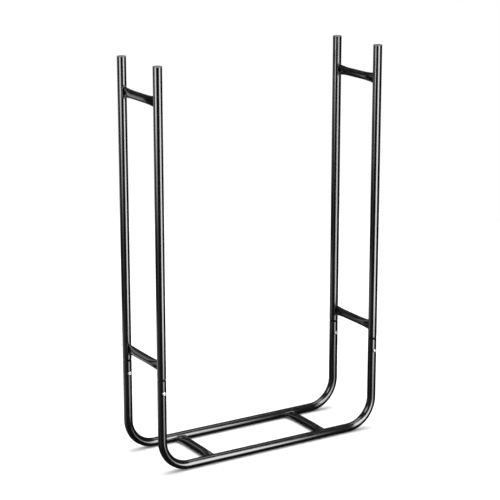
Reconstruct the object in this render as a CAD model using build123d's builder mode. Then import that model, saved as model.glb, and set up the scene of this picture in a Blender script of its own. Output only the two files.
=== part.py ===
"""Firewood log rack: two bent base hoops and two welded side frames, plugged and screwed together.

Millimetres, +Z up, +X to the right, -Y to the front. The origin is the middle of the footprint,
on the floor.
"""

import os
from math import sqrt

from build123d import *

# Driving dimensions ---------------------------------------------------------------------------
HEIGHT = 1000.0  # from the floor to the top of the end caps
WIDTH = 640.0  # over the outsides of the tubes
DEPTH = 198.0
TUBE = 22.0  # diameter of the hoops and the uprights
WALL = 1.2  # of every tube

BEND_RADIUS = 73.0  # of a hoop's corners, at the tube's axis
JOINT_Z = 240.0  # the mouths of the hoops
SCREW_DROP = 30.0  # from a mouth down to its screw
UPPER_BAR_Z = 915.0
LOWER_BAR_Z = 274.0
BASE_BAR_X = 165.0

# Swaged lower end of an upright
SPIGOT = 19.3
SPIGOT_DEPTH = 60.0
SHOULDER = 6.0  # height of the cone between the spigot and the full tube
SEAT_DROP = 0.4  # how far that cone sinks into the mouth
MOUTH_CHAMFER = 0.35

# Cross bar with pinched tips
BAR = 20.0
TIP_HEIGHT = 27.5
TIP_THICKNESS = 6.5
PINCH_LENGTH = 47.0
PINCH_STEPS = 4
HEIGHT_EASE = 2.0  # powers by which a bar grows taller and thinner along the pinch
THICKNESS_EASE = 1.5

# Weld bead round a tip
WELD_LEG = 3.0
WELD_ROOT = 2.5  # how deep the bead is drawn before the tube is cut out of it
WELD_TOE = 0.2

# Plastic end cap
CAP = 22.6
CAP_HEAD = 2.2
CAP_EDGE = 1.1
CAP_BARREL = 17.6
CAP_BARREL_DEPTH = 14.0
CAP_WALL = 1.6
CAP_RIB = 19.5
CAP_RIB_THICKNESS = 0.8
CAP_RIB_PITCH = 4.0
CAP_RIBS = 3

# M6 button-head screw and its weld nut
SCREW = 5.9
SCREW_LENGTH = 12.0
SCREW_HEAD = 10.5
SCREW_HEAD_HEIGHT = 3.3
SCREW_HEAD_ROUND = 2.6
SOCKET = 4.0  # across flats
SOCKET_DEPTH = 2.0
SCREW_HOLE = 6.5
NUT_BORE = 6.0
NUT = 10.0  # across flats
NUT_HEIGHT = 5.0

# Worked out from those --------------------------------------------------------------------------
R = TUBE / 2
AXIS_X = WIDTH / 2 - R
AXIS_Y = DEPTH / 2 - R
CAP_Z = HEIGHT - CAP_HEAD  # the upright ends and the cap's head begins
SCREW_Z = JOINT_Z - SCREW_DROP
TIP_REACH = AXIS_Y - R  # from a bar's middle to the tube that it meets
PINCH_START = TIP_REACH - PINCH_LENGTH
SPIGOT_BORE = SPIGOT / 2 - WALL
NUT_SEAT = sqrt(SPIGOT_BORE**2 - (NUT / 2) ** 2)  # the nut's flats stop on the round bore
SIDES = {"left": -1, "right": 1}
ENDS = {"front": -1, "rear": 1}
CORNERS = [(x * AXIS_X, y * AXIS_Y) for x in SIDES.values() for y in ENDS.values()]


def save(piece, name):
    """Label a finished piece and write it."""
    piece.part.label = name
    export_step(piece.part, f"parts/{name}.step")


def xz_plane(y):
    """The upright plane at y, facing the front."""
    return Plane.XZ.offset(-y)


# Tubes --------------------------------------------------------------------------------------------
def make_hoop(y):
    """A U of tube in the plane at y: two legs, two bends and the run along the floor."""
    half_run = AXIS_X - BEND_RADIUS
    bend_z = R + BEND_RADIUS
    with BuildPart() as hoop:
        with BuildLine(xz_plane(y)) as route:
            Line((-AXIS_X, JOINT_Z), (-AXIS_X, bend_z))
            CenterArc((-half_run, bend_z), BEND_RADIUS, 180, 90)
            Line((-half_run, R), (half_run, R))
            CenterArc((half_run, bend_z), BEND_RADIUS, 270, 90)
            Line((AXIS_X, bend_z), (AXIS_X, JOINT_Z))
        with BuildSketch(Plane(origin=(-AXIS_X, y, JOINT_Z), z_dir=(0, 0, -1))):
            Circle(R)
            Circle(R - WALL, mode=Mode.SUBTRACT)
        sweep(path=route.wire())
        rims = hoop.edges().filter_by(GeomType.CIRCLE).group_by(Axis.Z)[-1]
        chamfer(rims.filter_by(lambda rim: rim.radius > R - WALL / 2), MOUTH_CHAMFER)
        with BuildSketch(xz_plane(y)):
            with Locations((-AXIS_X, SCREW_Z), (AXIS_X, SCREW_Z)):
                Circle(SCREW_HOLE / 2)
        extrude(amount=TUBE, mode=Mode.SUBTRACT)
    return hoop


def make_upright(x, y):
    """A straight tube whose lower end is swaged down to a spigot with a hole for the screw."""
    cone_z = JOINT_Z - SEAT_DROP
    spigot_r = SPIGOT / 2
    with BuildPart() as upright:
        with BuildSketch(xz_plane(y)):
            with BuildLine():
                Polyline(
                    (x + SPIGOT_BORE, JOINT_Z - SPIGOT_DEPTH),
                    (x + spigot_r, JOINT_Z - SPIGOT_DEPTH),
                    (x + spigot_r, cone_z),
                    (x + R, cone_z + SHOULDER),
                    (x + R, CAP_Z),
                    (x + R - WALL, CAP_Z),
                    (x + R - WALL, cone_z + SHOULDER),
                    (x + SPIGOT_BORE, cone_z),
                    close=True,
                )
            make_face()
        revolve(axis=Axis((x, y, 0), (0, 0, 1)))
        with BuildSketch(xz_plane(y)):
            with Locations((x, SCREW_Z)):
                Circle(SCREW_HOLE / 2)
        extrude(amount=TUBE, mode=Mode.SUBTRACT)
    return upright


# Cross bars and their welds -----------------------------------------------------------------------
def bar_section(reach):
    """Half thickness and half height of a bar, this far from its middle."""
    share = min(max((reach - PINCH_START) / PINCH_LENGTH, 0), 1)
    thickness = BAR + (TIP_THICKNESS - BAR) * share**THICKNESS_EASE
    height = BAR + (TIP_HEIGHT - BAR) * share**HEIGHT_EASE
    return thickness / 2, height / 2


def bar_plane(x, y, z, thin):
    """The plane of a bar's section at y, facing away from the bar's middle."""
    return Plane(origin=(x, y, z), x_dir=thin, z_dir=(0, 1 if y > 0 else -1, 0))


def bar_body(x, z, thin, inset=0.0):
    """A cross bar along Y, running on to the axes of the tubes that it joins.

    `thin` is the direction across the flats of its tips; `inset` shrinks every section.
    """
    with BuildPart() as body:
        for end in ENDS.values():
            with BuildSketch(bar_plane(x, end * PINCH_START, z, thin)):
                Circle(BAR / 2 - inset)
            extrude(amount=-PINCH_START)
            for step in range(PINCH_STEPS + 1):
                reach = PINCH_START + PINCH_LENGTH * step / PINCH_STEPS
                half_thickness, half_height = bar_section(reach)
                with BuildSketch(bar_plane(x, end * reach, z, thin)):
                    Ellipse(half_thickness - inset, half_height - inset)
            loft()
            with BuildSketch(bar_plane(x, end * TIP_REACH, z, thin)):
                Ellipse(TIP_THICKNESS / 2 - inset, TIP_HEIGHT / 2 - inset)
            extrude(amount=R)
    return body.part


def joined_tubes(x, z, thin):
    """Solid rods where a bar meets its two tubes: upright ones, or the hoops' floor runs."""
    along = Vector(0, 1, 0).cross(Vector(*thin))
    with BuildPart() as rods:
        for end in ENDS.values():
            with BuildSketch(Plane(origin=(x, end * AXIS_Y, z), z_dir=along)):
                Circle(R)
            extrude(amount=TIP_HEIGHT, both=True)
    return rods.part


def make_bar(x, z, thin):
    """A hollow cross bar, its pinched tips cut to sit on the round tubes."""
    with BuildPart() as bar:
        add(bar_body(x, z, thin))
        add(bar_body(x, z, thin, inset=WALL), mode=Mode.SUBTRACT)
        add(joined_tubes(x, z, thin), mode=Mode.SUBTRACT)
    return bar


def make_welds(places, thin):
    """A fillet of weld metal round each tip of several bars, as one group of separate solids."""
    stages = ((WELD_ROOT, WELD_LEG), (0.0, 0.8 * WELD_LEG), (-WELD_LEG, WELD_TOE))
    with BuildPart() as welds:
        for x, z in places:
            for end in ENDS.values():
                for depth, leg in stages:
                    with BuildSketch(bar_plane(x, end * (TIP_REACH + depth), z, thin)):
                        Ellipse(TIP_THICKNESS / 2 + leg, TIP_HEIGHT / 2 + leg)
                loft()
        for x, z in places:
            add(bar_body(x, z, thin), mode=Mode.SUBTRACT)
            add(joined_tubes(x, z, thin), mode=Mode.SUBTRACT)
    return welds


# Caps, screws and nuts ----------------------------------------------------------------------------
def make_cap(x, y):
    """A plug for an open tube: a flat head with a rounded edge and a ribbed hollow barrel."""
    with BuildPart() as cap:
        with BuildSketch(Plane.XY.offset(CAP_Z)):
            with Locations((x, y)):
                Circle(CAP / 2)
        extrude(amount=CAP_HEAD)
        fillet(cap.edges().group_by(Axis.Z)[-1], CAP_EDGE)
        with BuildSketch(Plane.XY.offset(CAP_Z)):
            with Locations((x, y)):
                Circle(CAP_BARREL / 2)
        extrude(amount=-CAP_BARREL_DEPTH)
        for rib in range(1, CAP_RIBS + 1):
            with BuildSketch(Plane.XY.offset(CAP_Z - rib * CAP_RIB_PITCH)):
                with Locations((x, y)):
                    Circle(CAP_RIB / 2)
            extrude(amount=-CAP_RIB_THICKNESS)
        with BuildSketch(Plane.XY.offset(CAP_Z - CAP_BARREL_DEPTH)):
            with Locations((x, y)):
                Circle(CAP_BARREL / 2 - CAP_WALL)
        extrude(amount=CAP_BARREL_DEPTH, mode=Mode.SUBTRACT)
    return cap


def make_screws():
    """Four button-head screws whose heads rest on the fronts of the hoops' legs."""
    with BuildPart() as screws:
        for x, y in CORNERS:
            head_y = y - R
            with BuildSketch(xz_plane(head_y)):
                with Locations((x, SCREW_Z)):
                    Circle(SCREW_HEAD / 2)
            extrude(amount=SCREW_HEAD_HEIGHT)
            face_y = head_y - SCREW_HEAD_HEIGHT
            rims = screws.edges(Select.LAST).filter_by(GeomType.CIRCLE)
            fillet(rims.sort_by(Axis.Y)[0], SCREW_HEAD_ROUND)
            with BuildSketch(xz_plane(face_y)):
                with Locations((x, SCREW_Z)):
                    RegularPolygon(SOCKET / 2, 6, major_radius=False)
            extrude(amount=-SOCKET_DEPTH, mode=Mode.SUBTRACT)
            with BuildSketch(xz_plane(head_y)):
                with Locations((x, SCREW_Z)):
                    Circle(SCREW / 2)
            extrude(amount=-SCREW_LENGTH)
    return screws


def make_nuts():
    """Four hexagon weld nuts seated in the spigots' round bores."""
    with BuildPart() as nuts:
        for x, y in CORNERS:
            with BuildSketch(xz_plane(y - NUT_SEAT)):
                with Locations((x, SCREW_Z)):
                    RegularPolygon(NUT / 2, 6, major_radius=False, rotation=30)
                    Circle(NUT_BORE / 2, mode=Mode.SUBTRACT)
            extrude(amount=-NUT_HEIGHT)
    return nuts


# Everything in its place ----------------------------------------------------------------------------
ACROSS_X = (1, 0, 0)  # a side frame's bars are pinched thin this way
ACROSS_Z = (0, 0, 1)  # and the base bars this way
BAR_HEIGHTS = {"upper": UPPER_BAR_Z, "lower": LOWER_BAR_Z}

os.makedirs("parts", exist_ok=True)

for end, sy in ENDS.items():
    save(make_hoop(sy * AXIS_Y), f"{end}_base_hoop")

for side, sx in SIDES.items():
    x = sx * AXIS_X
    for end, sy in ENDS.items():
        save(make_upright(x, sy * AXIS_Y), f"{side}_{end}_upright")
        save(make_cap(x, sy * AXIS_Y), f"{side}_{end}_cap")
    for level, z in BAR_HEIGHTS.items():
        save(make_bar(x, z, ACROSS_X), f"{side}_{level}_bar")
    save(make_welds([(x, z) for z in BAR_HEIGHTS.values()], ACROSS_X), f"{side}_frame_welds")
    save(make_bar(sx * BASE_BAR_X, R, ACROSS_Z), f"{side}_base_bar")

save(make_welds([(sx * BASE_BAR_X, R) for sx in SIDES.values()], ACROSS_Z), "base_welds")
save(make_screws(), "joint_screws")
save(make_nuts(), "joint_nuts")
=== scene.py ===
from math import cos, exp, pi, radians, sin, sqrt

import bmesh
import bpy
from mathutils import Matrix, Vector


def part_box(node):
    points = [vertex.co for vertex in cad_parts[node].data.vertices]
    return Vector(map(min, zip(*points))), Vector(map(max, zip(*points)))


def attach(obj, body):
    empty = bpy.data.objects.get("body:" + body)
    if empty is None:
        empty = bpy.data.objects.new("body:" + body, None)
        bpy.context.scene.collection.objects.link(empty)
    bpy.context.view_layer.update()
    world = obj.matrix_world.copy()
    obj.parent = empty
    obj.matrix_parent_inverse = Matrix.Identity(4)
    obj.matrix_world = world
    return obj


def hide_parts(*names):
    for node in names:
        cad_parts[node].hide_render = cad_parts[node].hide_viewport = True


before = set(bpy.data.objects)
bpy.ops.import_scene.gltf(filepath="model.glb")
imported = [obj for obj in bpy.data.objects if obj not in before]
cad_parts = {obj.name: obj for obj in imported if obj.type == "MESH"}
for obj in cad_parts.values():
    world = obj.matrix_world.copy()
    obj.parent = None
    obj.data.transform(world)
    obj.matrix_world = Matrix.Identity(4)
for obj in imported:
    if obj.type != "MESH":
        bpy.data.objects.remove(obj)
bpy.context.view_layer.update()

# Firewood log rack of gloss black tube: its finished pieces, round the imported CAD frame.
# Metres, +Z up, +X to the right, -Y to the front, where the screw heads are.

# Sizes that the frame's boxes don't give -----------------------------------------------------------
TUBE_R = 0.011
WALL = 0.0012
BEND_RADIUS = 0.073
BEND_OVAL = 0.022  # how much thinner the tube gets across a bend, as a share
WRINKLE = 0.00007  # height of the waves inside a bend
WRINKLES = 5
MOUTH_ROUND = 0.0004

SPIGOT_R = 0.00965
SHOULDER = 0.006  # height of the cone above the spigot
SEAT_DROP = 0.0004  # how far the cone sinks into the mouth
CUT_EDGE_ROUND = 0.0003
SPIGOT_EDGE_ROUND = 0.0005
CONE_FOOT_ROUND = 0.0012
CONE_TOP_ROUND = 0.0010
CONE_BORE_ROUND = 0.0015

BAR_R = 0.010
TIP_HALF_HEIGHT = 0.01375
TIP_HALF_THICKNESS = 0.0037
PINCH_LENGTH = 0.047
DISH = 0.6  # how deep the flats are pressed in at the tip, as a share of the half thickness
DISH_NARROW = 0.12  # half width of the dish where it starts, as a share of the half height
DISH_WIDE = 0.62  # and at the tip
DISH_START = 0.35  # where along the pinch the dish starts, as a share of it
DISH_FULL = 0.95  # and where it is at its deepest
SQUARENESS = 0.42  # how flat the pressed sides get at the tip

BEAD_R = 0.0019
BEAD_RIPPLES = 44
BEAD_STEP = 0.00028
RIPPLE_HEIGHT = 0.00032

CAP_R = 0.0113
CAP_HEAD = 0.0022
BARREL_R = 0.0088
BARREL_DEPTH = 0.014
BARREL_WALL = 0.0016
RIB_R = 0.00975
RIB_PITCH = 0.004
RIBS = 3

HEAD_R = 0.00525
HEAD_HEIGHT = 0.0033
SHANK_R = 0.00295
SHANK_LENGTH = 0.012
THREAD_PITCH = 0.001
THREAD_DEPTH = 0.0004
SOCKET_HALF_FLATS = 0.002
SOCKET_DEPTH = 0.002
SCREW_DROP = 0.030  # from a mouth down to its screw

TUBE_SIDES = 72
SCREW_SIDES = 48

SIDES = {"left": -1, "right": 1}
ENDS = {"front": -1, "rear": 1}

# Places, read from the frame ------------------------------------------------------------------------
hoop_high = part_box("rear_base_hoop")[1]
JOINT_Z = hoop_high.z
AXIS_X = hoop_high.x - TUBE_R
AXIS_Y = hoop_high.y - TUBE_R
RUN_HALF = AXIS_X - BEND_RADIUS
TIP_REACH = AXIS_Y - TUBE_R


# Meshes ----------------------------------------------------------------------------------------------
def skin(name, rings, looped=False, sharp=50):
    """A closed piece through rings of equally many points.

    The last ring meets the first in a loop, or both end rings close on a middle point.
    """
    bm = bmesh.new()
    rows = [[bm.verts.new(point) for point in ring] for ring in rings]
    count = len(rings[0])
    pairs = list(zip(rows, rows[1:]))
    if looped:
        pairs.append((rows[-1], rows[0]))
    for near, far in pairs:
        for i in range(count):
            j = (i + 1) % count
            bm.faces.new((near[i], near[j], far[j], far[i]))
    if not looped:
        for row in (rows[0], rows[-1]):
            middle = bm.verts.new(sum((v.co for v in row), Vector()) / count)
            for i in range(count):
                bm.faces.new((row[i], row[(i + 1) % count], middle))
    bmesh.ops.recalc_face_normals(bm, faces=bm.faces)
    mesh = bpy.data.meshes.new(name)
    bm.to_mesh(mesh)
    bm.free()
    mesh.shade_smooth()
    mesh.set_sharp_from_angle(angle=radians(sharp))
    return show(name, mesh)


def show(name, mesh):
    """An object at the origin that shows a mesh."""
    piece = bpy.data.objects.new(name, mesh)
    bpy.context.scene.collection.objects.link(piece)
    return piece


def turns(count):
    """Equal angles round a circle."""
    return [2 * pi * i / count for i in range(count)]


def rounded(corners, closed, steps=5):
    """The outline through (r, z, cut) corners, each eased by a curve that starts `cut` before it."""
    outline = []
    for i, (r, z, cut) in enumerate(corners):
        here = Vector((r, z))
        if cut == 0 or not closed and i in (0, len(corners) - 1):
            outline.append((r, z))
            continue
        before = Vector(corners[i - 1][:2])
        after = Vector(corners[(i + 1) % len(corners)][:2])
        start = here + (before - here).normalized() * cut
        end = here + (after - here).normalized() * cut
        for step in range(steps + 1):
            t = step / steps
            outline.append(tuple((1 - t) ** 2 * start + 2 * t * (1 - t) * here + t**2 * end))
    return outline


def lathe(name, x, y, outline, looped=False, sides=TUBE_SIDES):
    """An (r, z) outline turned about the upright line at x, y."""
    rings = [[(x + r * cos(a), y + r * sin(a), z) for a in turns(sides)] for r, z in outline]
    return skin(name, rings, looped)


def ease(low, high, value):
    """0 below low, 1 above high, smooth between."""
    t = min(max((value - low) / (high - low), 0), 1)
    return t * t * (3 - 2 * t)


# Tubes -----------------------------------------------------------------------------------------------
def hoop_stations():
    """(x, z, heading, bend) along a hoop's axis, mouth to mouth.

    `heading` turns from 0 on the left leg to pi on the right one, and points to the inside of the
    U; `bend` is 1 in the middle of a bend.
    """
    bend_z = TUBE_R + BEND_RADIUS
    steps = 30
    lead = 0.004  # from a bend to the nearest ring on the straight
    swell = 0.6  # how fast a bend's flattening sets in
    stations = [(-AXIS_X, bend_z + lead, 0, 0)]
    for turn, centre_x in ((0, -RUN_HALF), (pi / 2, RUN_HALF)):
        for step in range(steps + 1):
            share = step / steps
            heading = turn + share * pi / 2
            x = centre_x - BEND_RADIUS * cos(heading)
            z = bend_z - BEND_RADIUS * sin(heading)
            stations.append((x, z, heading, sin(share * pi) ** swell if 0 < share < 1 else 0))
        if turn == 0:
            stations += [(x, TUBE_R, pi / 2, 0) for x in (-RUN_HALF + lead, 0, RUN_HALF - lead)]
    stations.append((AXIS_X, bend_z + lead, pi, 0))
    return stations


def hoop_ring(x, z, heading, bend, y, radius):
    """A ring of the tube round its axis, ovalled and faintly wrinkled where it was bent."""
    across = radius * (1 - BEND_OVAL * bend)
    along_y = radius * (1 + BEND_OVAL * bend / 2)
    ring = []
    for a in turns(TUBE_SIDES):
        wave = WRINKLE * bend * max(cos(a), 0) ** 3 * sin(4 * WRINKLES * heading)
        reach = (across + wave) * cos(a)
        ring.append((x + reach * cos(heading), y + along_y * sin(a), z + reach * sin(heading)))
    return ring


def make_hoop(name, y):
    """A hollow U of tube with rounded mouths."""
    mouth = rounded(
        [
            (TUBE_R, 2 * MOUTH_ROUND, 0),
            (TUBE_R, 0, MOUTH_ROUND),
            (TUBE_R - WALL, 0, MOUTH_ROUND / 2),
            (TUBE_R - WALL, 2 * MOUTH_ROUND, 0),
        ],
        closed=False,
    )
    stations = hoop_stations()
    rings = [hoop_ring(*station, y, TUBE_R) for station in stations]
    rings += [hoop_ring(AXIS_X, JOINT_Z - depth, pi, 0, y, r) for r, depth in mouth]
    rings += [hoop_ring(*station, y, TUBE_R - WALL) for station in reversed(stations)]
    rings += [hoop_ring(-AXIS_X, JOINT_Z - depth, 0, 0, y, r) for r, depth in reversed(mouth)]
    return skin(name, rings, looped=True)


def make_upright(name, node):
    """A straight tube, its foot swaged down through a soft shoulder to the spigot."""
    low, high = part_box(node)
    cone_z = JOINT_Z - SEAT_DROP
    bore = SPIGOT_R - WALL
    outline = rounded(
        [
            (bore, low.z, CUT_EDGE_ROUND),
            (SPIGOT_R, low.z, SPIGOT_EDGE_ROUND),
            (SPIGOT_R, cone_z, CONE_FOOT_ROUND),
            (TUBE_R, cone_z + SHOULDER, CONE_TOP_ROUND),
            (TUBE_R, high.z, CUT_EDGE_ROUND),
            (TUBE_R - WALL, high.z, CUT_EDGE_ROUND),
            (TUBE_R - WALL, cone_z + SHOULDER, CONE_BORE_ROUND),
            (bore, cone_z, CONE_FOOT_ROUND),
        ],
        closed=True,
    )
    return lathe(name, (low.x + high.x) / 2, (low.y + high.y) / 2, outline, looped=True)


# Cross bars and their welds -----------------------------------------------------------------------
def tip_share(reach):
    """0 where a bar is round, 1 at its tip."""
    return min(max((reach - TIP_REACH + PINCH_LENGTH) / PINCH_LENGTH, 0), 1)


def bar_point(share, a):
    """(across the flats, along them) of the pinched section's outline at angle a."""
    half_height = BAR_R + (TIP_HALF_HEIGHT - BAR_R) * share**2
    half_thickness = BAR_R + (TIP_HALF_THICKNESS - BAR_R) * share**1.5
    side = 1 if cos(a) > 0 else -1
    bulge = side * abs(cos(a)) ** (1 - SQUARENESS * share)
    dish_width = DISH_NARROW + (DISH_WIDE - DISH_NARROW) * share
    hollow = exp(-((sin(a) / dish_width) ** 2))
    pressed = 1 - DISH * ease(DISH_START, DISH_FULL, share) * hollow
    return half_thickness * bulge * pressed, half_height * sin(a)


def make_bar(name, node, thin, tall):
    """A bar along Y whose tips are pressed into dished flats and cut to sit on the round tubes."""
    low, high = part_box(node)
    middle = Vector(((low.x + high.x) / 2, 0, (low.z + high.z) / 2))
    steps = 22
    reaches = [TIP_REACH - PINCH_LENGTH * (step / steps) for step in range(steps + 1)]
    signed = [-reach for reach in reaches] + [0.0] + reaches[::-1]
    rings = []
    for signed_reach in signed:
        reach = abs(signed_reach)
        end = 1 if signed_reach > 0 else -1
        ring = []
        for a in turns(TUBE_SIDES):
            across, along = bar_point(tip_share(reach), a)
            cope = 0.0
            if reach == TIP_REACH:
                cope = TUBE_R - sqrt(TUBE_R**2 - across**2)
            ring.append(middle + across * thin + along * tall + Vector((0, end * (reach + cope), 0)))
        rings.append(ring)
    return skin(name, rings)


# Node trees -----------------------------------------------------------------------------------------
class Wire:
    """One output socket. Sums and products of wires and numbers add Math nodes."""

    def __init__(self, maker, socket):
        self.maker = maker
        self.socket = socket

    def out(self, name):
        """Another output of the same node."""
        return Wire(self.maker, self.socket.node.outputs[name])

    def math(self, operation, *values):
        return self.maker.node("ShaderNodeMath", {"operation": operation}, values)

    def __add__(self, other):
        return self.math("ADD", self, other)

    def __radd__(self, other):
        return self.math("ADD", other, self)

    def __sub__(self, other):
        return self.math("SUBTRACT", self, other)

    def __rsub__(self, other):
        return self.math("SUBTRACT", other, self)

    def __mul__(self, other):
        return self.math("MULTIPLY", self, other)

    def __rmul__(self, other):
        return self.math("MULTIPLY", other, self)

    def __truediv__(self, other):
        return self.math("DIVIDE", self, other)

    def __rtruediv__(self, other):
        return self.math("DIVIDE", other, self)

    def ramp(self, low, high):
        """0 below low, 1 above high, smooth between."""
        settings = {"interpolation_type": "SMOOTHSTEP"}
        return self.maker.node("ShaderNodeMapRange", settings, {0: self, 1: low, 2: high})


class Maker:
    """Adds nodes to one tree."""

    def __init__(self, tree):
        self.tree = tree

    def node(self, kind, settings=None, values=()):
        """A node: its settings first, then its inputs, listed in order or by name or number."""
        made = self.tree.nodes.new(kind)
        for name, value in (settings or {}).items():
            if name == "stops":
                fill_ramp(made.color_ramp, value)
            else:
                setattr(made, name, value)
        pairs = values.items() if isinstance(values, dict) else enumerate(values)
        for key, value in pairs:
            if isinstance(value, Wire):
                self.tree.links.new(value.socket, made.inputs[key])
            else:
                made.inputs[key].default_value = value
        return Wire(self, made.outputs[0]) if made.outputs else None


def fill_ramp(ramp, stops):
    """Sets a colour ramp's (place, colour) stops."""
    while len(ramp.elements) < len(stops):
        ramp.elements.new(1.0)
    for element, (place, colour) in zip(ramp.elements, stops):
        element.position = place
        element.color = colour


class GeometryMaker(Maker):
    """Builds a Geometry Nodes tree with named inputs."""

    def __init__(self, name):
        super().__init__(bpy.data.node_groups.new(name, "GeometryNodeTree"))
        self.tree.interface.new_socket("Geometry", in_out="INPUT", socket_type="NodeSocketGeometry")
        self.tree.interface.new_socket("Geometry", in_out="OUTPUT", socket_type="NodeSocketGeometry")
        self.entry = self.node("NodeGroupInput")
        self.identifiers = {}
        self.values = {}

    def input(self, name, kind, value):
        """A named input, and the value that the modifier gives it."""
        made = self.tree.interface.new_socket(name, in_out="INPUT", socket_type="NodeSocket" + kind)
        self.identifiers[name] = made.identifier
        self.values[name] = value
        return self.entry.out(name)

    def finish(self, geometry, material):
        """Ends the tree in Realize Instances and Set Material."""
        real = self.node("GeometryNodeRealizeInstances", None, {0: geometry})
        painted = self.node("GeometryNodeSetMaterial", None, {0: real, 2: material})
        self.node("NodeGroupOutput", None, {0: painted})

    def bake(self, piece):
        """Runs the tree on a piece, and leaves its result there as a plain mesh."""
        modifier = piece.modifiers.new(self.tree.name, "NODES")
        modifier.node_group = self.tree
        for name, identifier in self.identifiers.items():
            modifier[identifier] = self.values[name]
        evaluated = piece.evaluated_get(bpy.context.evaluated_depsgraph_get())
        mesh = bpy.data.meshes.new_from_object(evaluated)
        piece.modifiers.clear()
        piece.data = mesh
        mesh.name = piece.name
        return piece


# Materials --------------------------------------------------------------------------------------------
class Finish(Maker):
    """A material in the making, around one Principled shader."""

    def __init__(self, name):
        self.material = bpy.data.materials.new(name)
        self.material.use_nodes = True
        super().__init__(self.material.node_tree)
        self.tree.nodes.clear()
        self.place = self.node("ShaderNodeTexCoord").out("Object")

    def stretched(self, scale):
        """Object coordinates, scaled along each axis."""
        return self.node("ShaderNodeMapping", None, {"Vector": self.place, "Scale": scale})

    def grain(self, scale, detail=2.0, roughness=0.5, place=None):
        """Noise of about this many patches to the metre."""
        values = {"Vector": place or self.place, "Scale": scale, "Detail": detail, "Roughness": roughness}
        return self.node("ShaderNodeTexNoise", None, values)

    def blend(self, factor, low, high):
        """From one colour to another."""
        settings = {"data_type": "RGBA"}
        node = self.node("ShaderNodeMix", settings, {0: factor, 6: low, 7: high})
        return Wire(self, node.socket.node.outputs[2])

    def upward(self):
        """1 on faces that look up, 0 on upright and lower ones."""
        normal = self.node("ShaderNodeNewGeometry").out("Normal")
        return self.node("ShaderNodeSeparateXYZ", None, {0: normal}).out("Z").ramp(0.25, 1.0)

    def bump(self, height, depth, normal=None):
        """The normal of a relief this many metres deep."""
        values = {"Height": height, "Distance": depth, "Strength": 1.0}
        if normal:
            values["Normal"] = normal
        return self.node("ShaderNodeBump", None, values)

    def finish(self, values):
        shader = self.node("ShaderNodeBsdfPrincipled", None, values)
        self.node("ShaderNodeOutputMaterial", None, {0: shader})
        return self.material


def rgb(r, g, b):
    return (r, g, b, 1.0)


COAT_DEEP = rgb(0.0025, 0.0025, 0.003)
COAT_PALE = rgb(0.0045, 0.0045, 0.005)
HOUSE_DUST = rgb(0.20, 0.19, 0.175)
PLASTIC_DEEP = rgb(0.060, 0.061, 0.064)
PLASTIC_PALE = rgb(0.080, 0.081, 0.084)
PLASTIC_DUST = rgb(0.30, 0.29, 0.27)
SPARK_GRAIN_DEPTH = 0.00003
TURNING_PITCH = 0.00032  # between the turning rings of a screw head
ZINC_RELIEF_DEPTH = 0.000012


def make_powder_coat(name, peel_depth, flow_depth, roughness):
    """Gloss black powder coat: orange peel, slow flow waves, faint rub marks and a trace of dust."""
    coat = Finish(name)
    peel = coat.grain(scale=620.0, detail=2.0, roughness=0.45)
    flow = coat.grain(scale=95.0, detail=1.0, roughness=0.4)
    cloudy = coat.grain(scale=22.0, detail=4.0, roughness=0.6)
    speck = coat.grain(scale=2600.0, detail=1.0, roughness=0.5).ramp(0.66, 0.76)
    drawn = coat.stretched((60.0, 60.0, 3.0))
    hairline = coat.grain(scale=9.0, detail=6.0, roughness=0.75, place=drawn).ramp(0.60, 0.72)
    rubbed = hairline * cloudy.ramp(0.45, 0.7)
    dust = coat.upward() * coat.grain(scale=70.0, detail=5.0, roughness=0.65).ramp(0.35, 0.75)
    tone = coat.blend(cloudy.ramp(0.3, 0.7), COAT_DEEP, COAT_PALE)
    dusty = coat.blend(dust * 0.05 + speck * 0.02, tone, HOUSE_DUST)
    relief = coat.bump(peel, peel_depth, coat.bump(flow, flow_depth))
    return coat.finish(
        {
            "Base Color": dusty,
            "Roughness": roughness + 0.06 * cloudy + 0.10 * rubbed + 0.14 * dust,
            "IOR": 1.52,
            "Normal": relief,
        }
    )


def make_cap_plastic():
    """Moulded black plastic: a fine spark-eroded grain, a little shine where it was handled."""
    plastic = Finish("moulded_plastic")
    grit = plastic.grain(scale=3200.0, detail=2.0, roughness=0.6)
    cloudy = plastic.grain(scale=160.0, detail=3.0, roughness=0.55)
    dust = plastic.upward() * plastic.grain(scale=420.0, detail=4.0, roughness=0.7).ramp(0.4, 0.8)
    tone = plastic.blend(cloudy.ramp(0.3, 0.7), PLASTIC_DEEP, PLASTIC_PALE)
    return plastic.finish(
        {
            "Base Color": plastic.blend(dust * 0.16, tone, PLASTIC_DUST),
            "Roughness": 0.42 + 0.14 * cloudy + 0.12 * dust,
            "IOR": 1.5,
            "Normal": plastic.bump(grit, SPARK_GRAIN_DEPTH),
        }
    )


def make_zinc(name, bright, dull, roughness, turned):
    """Zinc plate: cloudy passivation, and turning rings round each screw's axis where `turned`."""
    zinc = Finish(name)
    cloudy = zinc.grain(scale=420.0, detail=4.0, roughness=0.6)
    pits = zinc.grain(scale=2400.0, detail=2.0, roughness=0.6)
    relief = pits * 0.4
    if turned:
        radial = zinc.node("ShaderNodeAttribute", {"attribute_name": "radial"}).out("Fac")
        relief = relief + radial.math("SINE", radial * 2 * pi / TURNING_PITCH) * 0.3
    return zinc.finish(
        {
            "Base Color": zinc.blend(cloudy.ramp(0.3, 0.7), dull, bright),
            "Metallic": 1.0,
            "Roughness": roughness + 0.12 * cloudy,
            "Normal": zinc.bump(relief, ZINC_RELIEF_DEPTH),
        }
    )


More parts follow.
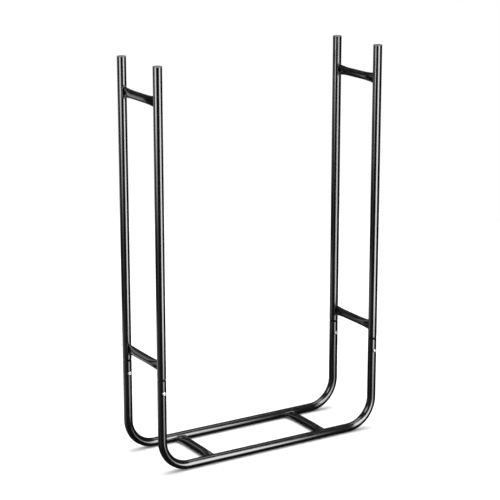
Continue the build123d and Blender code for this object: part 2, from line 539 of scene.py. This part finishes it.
black_coat = make_powder_coat("black_powder_coat", peel_depth=0.000004, flow_depth=0.000012, roughness=0.10)
weld_coat = make_powder_coat("coated_weld", peel_depth=0.000008, flow_depth=0.000020, roughness=0.16)
cap_plastic = make_cap_plastic()
bright_zinc = make_zinc(
    "bright_zinc",
    bright=rgb(0.30, 0.30, 0.30),
    dull=rgb(0.20, 0.20, 0.21),
    roughness=0.30,
    turned=True,
)
dull_zinc = make_zinc(
    "dull_zinc",
    bright=rgb(0.66, 0.66, 0.64),
    dull=rgb(0.48, 0.49, 0.50),
    roughness=0.36,
    turned=False,
)


# Weld beads ---------------------------------------------------------------------------------------
def bead_guide(name, bars, thin, tall):
    """Closed rings of edges where the tips of these bars meet their tubes."""
    offset = 0.0007
    lift = 0.0004
    mesh = bpy.data.meshes.new(name)
    points = []
    edges = []
    for node in bars:
        low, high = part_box(node)
        middle = Vector(((low.x + high.x) / 2, 0, (low.z + high.z) / 2))
        for end in ENDS.values():
            first = len(points)
            for a in turns(TUBE_SIDES):
                side = 1 if cos(a) > 0 else -1
                across = (TIP_HALF_THICKNESS + offset) * side * abs(cos(a)) ** 0.75
                along = (TIP_HALF_HEIGHT + offset) * sin(a)
                y = AXIS_Y - sqrt(TUBE_R**2 - across**2) - lift
                points.append(middle + across * thin + along * tall + Vector((0, end * y, 0)))
            edges += [(first + i, first + (i + 1) % TUBE_SIDES) for i in range(TUBE_SIDES)]
    mesh.from_pydata(points, edges, [])
    return show(name, mesh)


def bead_tree(seed):
    """Lays a bead with overlapping crescent ripples along every ring of a guide."""
    tree = GeometryMaker("weld_bead")
    radius = tree.input("Bead Radius", "Float", BEAD_R)
    step = tree.input("Step", "Float", BEAD_STEP)
    ripples = tree.input("Ripples", "Float", float(BEAD_RIPPLES))
    height = tree.input("Ripple Height", "Float", RIPPLE_HEIGHT)
    bow = tree.input("Crescent", "Float", 0.35)
    unevenness = tree.input("Unevenness", "Float", 0.0006)
    chance = tree.input("Seed", "Float", seed)
    path = tree.node("GeometryNodeMeshToCurve", None, {0: tree.entry})
    path = tree.node("GeometryNodeResampleCurve", {"mode": "LENGTH"}, {"Curve": path, "Length": step})
    section = tree.node("GeometryNodeCurvePrimitiveCircle", None, {"Resolution": 14, "Radius": radius})
    factor = tree.node("GeometryNodeSplineParameter")
    path = tree.node("GeometryNodeStoreNamedAttribute", None, {0: path, "Name": "along", "Value": factor})
    section = tree.node(
        "GeometryNodeStoreNamedAttribute", None, {0: section, "Name": "around", "Value": factor}
    )
    bead = tree.node("GeometryNodeCurveToMesh", None, {"Curve": path, "Profile Curve": section})
    along = tree.node("GeometryNodeInputNamedAttribute", None, {"Name": "along"})
    around = tree.node("GeometryNodeInputNamedAttribute", None, {"Name": "around"})
    phase = along * ripples + bow * around.math("COSINE", around * 2 * pi)
    ripple = phase.math("ABSOLUTE", phase.math("SINE", phase * pi)) - 0.6
    spot = tree.node("GeometryNodeInputPosition")
    settings = {"noise_dimensions": "4D"}
    wander = tree.node("ShaderNodeTexNoise", settings, {"Vector": spot, "W": chance, "Scale": 260.0})
    rise = ripple * height + (wander - 0.5) * unevenness
    normal = tree.node("GeometryNodeInputNormal")
    offset = tree.node("ShaderNodeVectorMath", {"operation": "SCALE"}, {0: normal, "Scale": rise})
    bead = tree.node("GeometryNodeSetPosition", None, {"Geometry": bead, "Offset": offset})
    bead = tree.node("GeometryNodeSetShadeSmooth", None, {0: bead})
    tree.finish(bead, weld_coat)
    return tree


# Caps and screws ----------------------------------------------------------------------------------
def make_cap(name, node):
    """A plug: a slightly domed head with a moulding dimple, and a ribbed hollow barrel."""
    low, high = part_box(node)
    top = high.z
    seat = top - CAP_HEAD
    foot = seat - BARREL_DEPTH
    rib_half = 0.0004
    corners = [
        (0.0003, top - 0.00022, 0),
        (0.0010, top - 0.00022, 0.0002),
        (0.0014, top - 0.00002, 0.0002),
        (0.0050, top - 0.00004, 0.001),
        (0.0085, top - 0.00020, 0.001),
        (CAP_R, top - 0.00045, 0.0009),
        (CAP_R, seat, 0.0002),
        (BARREL_R, seat, 0.0002),
    ]
    for rib in range(1, RIBS + 1):
        z = seat - rib * RIB_PITCH
        corners.append((BARREL_R, z + 2 * rib_half, 0.0001))
        corners.append((RIB_R, z + rib_half, 0.0002))
        corners.append((RIB_R, z, 0.0002))
        corners.append((BARREL_R, z - rib_half / 2, 0.0001))
    corners += [
        (BARREL_R, foot, 0.0003),
        (BARREL_R - BARREL_WALL, foot, 0.0003),
        (BARREL_R - BARREL_WALL, seat, 0.0006),
        (0.0003, seat, 0),
    ]
    outline = rounded(corners, closed=False, steps=4)
    return lathe(name, (low.x + high.x) / 2, (low.y + high.y) / 2, outline)


def hexagon(a, half_flats):
    """How far a hexagon's edge is from its middle at angle a."""
    sixth = pi / 3
    return half_flats / cos((a % sixth) - sixth / 2)


def make_screw_pattern():
    """One button-head screw at the origin: its seat in the XZ plane, its head towards -Y."""
    rings = []

    def ring(y, radius):
        angles = turns(SCREW_SIDES)
        rings.append([(radius(a) * cos(a), y, radius(a) * sin(a)) for a in angles])

    floor_y = -HEAD_HEIGHT + SOCKET_DEPTH
    ring(floor_y + 0.0004, lambda a: 0.0003)
    ring(floor_y, lambda a: 0.85 * SOCKET_HALF_FLATS)
    ring(floor_y, lambda a: hexagon(a, 0.97 * SOCKET_HALF_FLATS))
    ring(floor_y - 0.0001, lambda a: hexagon(a, SOCKET_HALF_FLATS))
    ring(-HEAD_HEIGHT + 0.0004, lambda a: hexagon(a, SOCKET_HALF_FLATS))
    ring(-HEAD_HEIGHT + 0.0002, lambda a: hexagon(a, SOCKET_HALF_FLATS) * 1.03)
    ring(-HEAD_HEIGHT, lambda a: 1.28 * SOCKET_HALF_FLATS)
    flat_r = 0.0029
    rim = 0.0006
    dome_steps = 12
    for step in range(dome_steps + 1):
        t = step / dome_steps * pi / 2
        r = flat_r + (HEAD_R - flat_r) * sin(t)
        ring(-rim - (HEAD_HEIGHT - rim) * cos(t), lambda a, r=r: r)
    ring(-0.0001, lambda a: HEAD_R)
    ring(0.0, lambda a: HEAD_R - 0.00015)
    ring(0.0, lambda a: SHANK_R + 0.0002)
    steps = 84
    for step in range(steps + 1):
        y = 0.0002 + (SHANK_LENGTH - 0.0006) * step / steps
        fade = ease(0.0, 0.08, step / steps)

        def threaded(a, y=y, fade=fade):
            turn = (y / THREAD_PITCH + a / (2 * pi)) % 1
            return SHANK_R - fade * THREAD_DEPTH * abs(2 * turn - 1)

        ring(y, threaded)
    ring(SHANK_LENGTH, lambda a: SHANK_R - 2 * THREAD_DEPTH)
    pattern = skin("screw_pattern", rings, sharp=35)
    radial = pattern.data.attributes.new("radial", "FLOAT", "POINT")
    radial.data.foreach_set("value", [sqrt(v.co.x**2 + v.co.z**2) for v in pattern.data.vertices])
    return pattern


def screw_tree(pattern):
    """Stands a copy of the screw at each corner of a rectangle, each turned by chance."""
    tree = GeometryMaker("joint_screw_set")
    screw = tree.input("Screw", "Object", pattern)
    span_x = tree.input("Span X", "Float", 2 * AXIS_X)
    span_y = tree.input("Span Y", "Float", 2 * AXIS_Y)
    seat_y = tree.input("Seat Y", "Float", -TUBE_R)
    height = tree.input("Height", "Float", JOINT_Z - SCREW_DROP)
    seed = tree.input("Seed", "Int", 7)
    values = {"Size X": span_x, "Size Y": span_y, "Vertices X": 2, "Vertices Y": 2}
    corners = tree.node("GeometryNodeMeshGrid", None, values)
    turn = tree.node(
        "FunctionNodeRandomValue", {"data_type": "FLOAT"}, {2: 0.0, 3: pi / 3, "Seed": seed}
    )
    turn = Wire(tree, turn.socket.node.outputs[1])
    rotation = tree.node("ShaderNodeCombineXYZ", None, {1: turn})
    geometry = tree.node("GeometryNodeObjectInfo", None, {"Object": screw}).out("Geometry")
    values = {"Points": corners, "Instance": geometry, "Rotation": rotation}
    screws = tree.node("GeometryNodeInstanceOnPoints", None, values)
    lift = tree.node("ShaderNodeCombineXYZ", None, {1: seat_y, 2: height})
    screws = tree.node("GeometryNodeTransform", None, {"Geometry": screws, "Translation": lift})
    tree.finish(screws, bright_zinc)
    return tree


# Every piece in its place --------------------------------------------------------------------------
def settle(piece, slot, material, *nodes):
    """Paints a piece, and lets it stand for its CAD nodes."""
    piece.data.materials.clear()
    piece.data.materials.append(material)
    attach(piece, "root")
    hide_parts(*nodes)


X = Vector((1, 0, 0))
Z = Vector((0, 0, 1))

for end, sign in ENDS.items():
    hoop = make_hoop(f"{end}_hoop", sign * AXIS_Y)
    settle(hoop, "black_powder_coat", black_coat, f"{end}_base_hoop")

for side, side_sign in SIDES.items():
    for end in ENDS:
        tube = make_upright(f"{side}_{end}_tube", f"{side}_{end}_upright")
        settle(tube, "black_powder_coat", black_coat, f"{side}_{end}_upright")
        plug = make_cap(f"{side}_{end}_plug", f"{side}_{end}_cap")
        settle(plug, "cap_plastic", cap_plastic, f"{side}_{end}_cap")
    rungs = [f"{side}_{level}_bar" for level in ("upper", "lower")]
    for node in rungs:
        settle(make_bar(node + "_tube", node, X, Z), "black_powder_coat", black_coat, node)
    beads = bead_tree(seed=3.0 + side_sign).bake(bead_guide(f"{side}_frame_beads", rungs, X, Z))
    settle(beads, "coated_weld", weld_coat, f"{side}_frame_welds")
    node = f"{side}_base_bar"
    settle(make_bar(node + "_tube", node, Z, X), "black_powder_coat", black_coat, node)

base_bars = [f"{side}_base_bar" for side in SIDES]
beads = bead_tree(seed=9.0).bake(bead_guide("base_beads", base_bars, Z, X))
settle(beads, "coated_weld", weld_coat, "base_welds")

pattern = make_screw_pattern()
screws = screw_tree(pattern).bake(show("button_head_screws", bpy.data.meshes.new("button_head_screws")))
settle(screws, "zinc_screw", bright_zinc, "joint_screws")
bpy.data.objects.remove(pattern)

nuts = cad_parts["joint_nuts"]
nuts.data.materials.clear()
nuts.data.materials.append(dull_zinc)


# Stage: floor, light and camera ---------------------------------------------------------------------
def direction(azimuth, elevation=0.0):
    """From the rack towards a camera at this azimuth and elevation, in degrees."""
    a = radians(azimuth)
    e = radians(elevation)
    return Vector((sin(a) * cos(e), -cos(a) * cos(e), sin(e)))


VIEW_AZIMUTH = -31.698
VIEW_ELEVATION = 15.297
VIEW_DISTANCE = 4.4133
TARGET = Vector((-0.00601, 0, 0.50084))
LENS = 127.96
SENSOR_WIDTH = 36.0
FAR_CLIP = 50.0

FLOOR_RADIUS = 1.6
FLOOR_FADE = 0.25  # width of the soft rim
FLOOR_DARK = rgb(0.80, 0.80, 0.80)
FLOOR_PALE = rgb(0.84, 0.84, 0.84)

# Each glow lists (height, radiance) from the card's lower edge to its upper one.
RIGHT_GLOW = [(-0.60, 5.0), (-0.35, 7.0), (-0.27, 11.0), (-0.15, 16.0), (2.2, 16.0)]
LEFT_GLOW = [
    (-0.50, 0.3),
    (0.20, 0.45),
    (0.35, 0.8),
    (0.41, 1.3),
    (0.48, 2.5),
    (0.56, 4.5),
    (0.63, 5.8),
    (0.70, 8.2),
    (0.84, 13.0),
    (1.30, 13.0),
]
BACK_GLOW = [(0.30, 0.0), (0.36, 0.9), (0.55, 1.6), (0.80, 1.5), (1.00, 1.0), (1.14, 0.6), (1.20, 0.0)]

# Light cards, as name: (middle in plan, width, glow)
CARDS = {
    "right_card": ((0.42, -1.57), 1.2, RIGHT_GLOW),
    "left_card": ((-1.14, -0.23), 0.7, LEFT_GLOW),
    "back_card": ((-0.78, 1.00), 0.66, BACK_GLOW),
}
CARD_FADE = 0.18  # width of a card's soft sides, as a share of its width

PATCH_CENTRE = Vector((-0.75, 0.65, -0.002))
PATCH_RADIUS = 0.75
PATCH_FADE = 0.35
PATCH_RADIANCE = 1.2

TOP_LIGHT_PLACE = Vector((0.2, 0.3, 3.2))
TOP_LIGHT_SIZE = 2.6
TOP_LIGHT_POWER = 90

GLOSS_DIM = 0.04  # how bright the studio's lower part is to gloss
GLOSS_SKY = 0.10  # and how much is added overhead

camera_data = bpy.data.cameras.new("camera")
camera_data.lens = LENS
camera_data.sensor_width = SENSOR_WIDTH
camera_data.clip_end = FAR_CLIP
camera = bpy.data.objects.new("camera", camera_data)
bpy.context.scene.collection.objects.link(camera)
towards = direction(VIEW_AZIMUTH, VIEW_ELEVATION)
camera.location = TARGET + VIEW_DISTANCE * towards
camera.rotation_euler = (-towards).to_track_quat("-Z", "Y").to_euler()
bpy.context.scene.camera = camera


def make_disc(name, centre, radius, sides):
    """A flat round face at this centre."""
    mesh = bpy.data.meshes.new(name)
    ring = [(centre.x + radius * cos(a), centre.y + radius * sin(a), centre.z) for a in turns(sides)]
    mesh.from_pydata(ring, [], [range(sides)])
    return show(name, mesh)


def reach_from(paint, centre):
    """How far a point of the surface is from this centre."""
    values = {0: paint.place, 1: tuple(centre)}
    return paint.node("ShaderNodeVectorMath", {"operation": "DISTANCE"}, values).out("Value")


def make_floor():
    """A pale round floor that fades out at its rim, seen by all but gloss."""
    centre = -1.0 * direction(VIEW_AZIMUTH)
    floor = make_disc("floor", centre, FLOOR_RADIUS, sides=96)
    paint = Finish("pale_floor")
    rim = reach_from(paint, centre).ramp(FLOOR_RADIUS - FLOOR_FADE, FLOOR_RADIUS)
    mottled = paint.blend(paint.grain(scale=300.0), FLOOR_DARK, FLOOR_PALE)
    shader = paint.node("ShaderNodeBsdfDiffuse", None, {"Color": mottled})
    clear = paint.node("ShaderNodeBsdfTransparent")
    mixed = paint.node("ShaderNodeMixShader", None, {0: rim, 1: shader, 2: clear})
    paint.node("ShaderNodeOutputMaterial", None, {0: mixed})
    floor.data.materials.append(paint.material)
    floor.visible_glossy = False


def hide_but_from_gloss(thing):
    """Makes a stage object that only reflections see."""
    thing.visible_camera = False
    thing.visible_diffuse = False
    thing.visible_shadow = False


def make_card(name, middle, width, glow):
    """An upright light card, facing the rack, seen only in reflections. Both sides fade out."""
    low = glow[0][0]
    high = glow[-1][0]
    centre = Vector((middle[0], middle[1], 0))
    outward = centre.normalized()
    along = Vector((-outward.y, outward.x, 0))
    corners = []
    for side, z in ((-1, low), (1, low), (1, high), (-1, high)):
        corners.append(centre + along * side * width / 2 + Vector((0, 0, z)))
    mesh = bpy.data.meshes.new(name)
    mesh.from_pydata(corners, [], [(0, 1, 2, 3)])
    uv = mesh.uv_layers.new(name="UVMap")
    for loop, spot in zip(uv.data, ((0, 0), (1, 0), (1, 1), (0, 1))):
        loop.uv = spot
    card = show(name, mesh)
    paint = Finish(name)
    spot = paint.node("ShaderNodeSeparateXYZ", None, {0: paint.node("ShaderNodeTexCoord").out("UV")})
    brightest = max(value for z, value in glow)
    stops = [((z - low) / (high - low), rgb(*[value / brightest] * 3)) for z, value in glow]
    level = paint.node("ShaderNodeValToRGB", {"stops": stops}, {0: spot.out("Y")})
    edge = spot.ramp(0.0, CARD_FADE) * (1 - spot.ramp(1 - CARD_FADE, 1.0))
    emission = paint.node("ShaderNodeEmission", None, {0: level, 1: edge * brightest})
    paint.node("ShaderNodeOutputMaterial", None, {0: emission})
    mesh.materials.append(paint.material)
    hide_but_from_gloss(card)


def make_lit_patch():
    """The lit floor behind the rack, as the gloss sees it: a disc seen only in reflections."""
    patch = make_disc("floor_glow", PATCH_CENTRE, PATCH_RADIUS, sides=64)
    paint = Finish("floor_glow")
    rim = reach_from(paint, PATCH_CENTRE).ramp(PATCH_RADIUS - PATCH_FADE, PATCH_RADIUS)
    emission = paint.node("ShaderNodeEmission", None, {1: PATCH_RADIANCE * (1 - rim)})
    paint.node("ShaderNodeOutputMaterial", None, {0: emission})
    patch.data.materials.append(paint.material)
    hide_but_from_gloss(patch)


def make_top_light():
    """A large soft light overhead, facing the middle of the footprint."""
    data = bpy.data.lights.new("top_light", "AREA")
    data.shape = "RECTANGLE"
    data.size = TOP_LIGHT_SIZE
    data.size_y = TOP_LIGHT_SIZE
    data.energy = TOP_LIGHT_POWER
    light = bpy.data.objects.new("top_light", data)
    bpy.context.scene.collection.objects.link(light)
    light.location = TOP_LIGHT_PLACE
    light.rotation_euler = (-TOP_LIGHT_PLACE).to_track_quat("-Z", "Y").to_euler()


def make_world():
    """A white studio that gloss sees as dark, with a faint sky."""
    world = bpy.data.worlds.new("studio")
    bpy.context.scene.world = world
    world.use_nodes = True
    world.node_tree.nodes.clear()
    studio = Maker(world.node_tree)
    spot = studio.node("ShaderNodeTexCoord").out("Generated")
    height = studio.node("ShaderNodeSeparateXYZ", None, {0: spot}).out("Z")
    dim = GLOSS_DIM + height.ramp(0.3, 0.9) * GLOSS_SKY
    gloss = studio.node("ShaderNodeLightPath").out("Is Glossy Ray")
    strength = 1 - gloss + gloss * dim
    back = studio.node("ShaderNodeBackground", None, {"Color": rgb(1, 1, 1), "Strength": strength})
    studio.node("ShaderNodeOutputWorld", None, {0: back})


make_floor()
make_world()
for name, (middle, width, glow) in CARDS.items():
    make_card(name, middle, width, glow)
make_lit_patch()
make_top_light()
bpy.context.scene.view_settings.view_transform = "Standard"
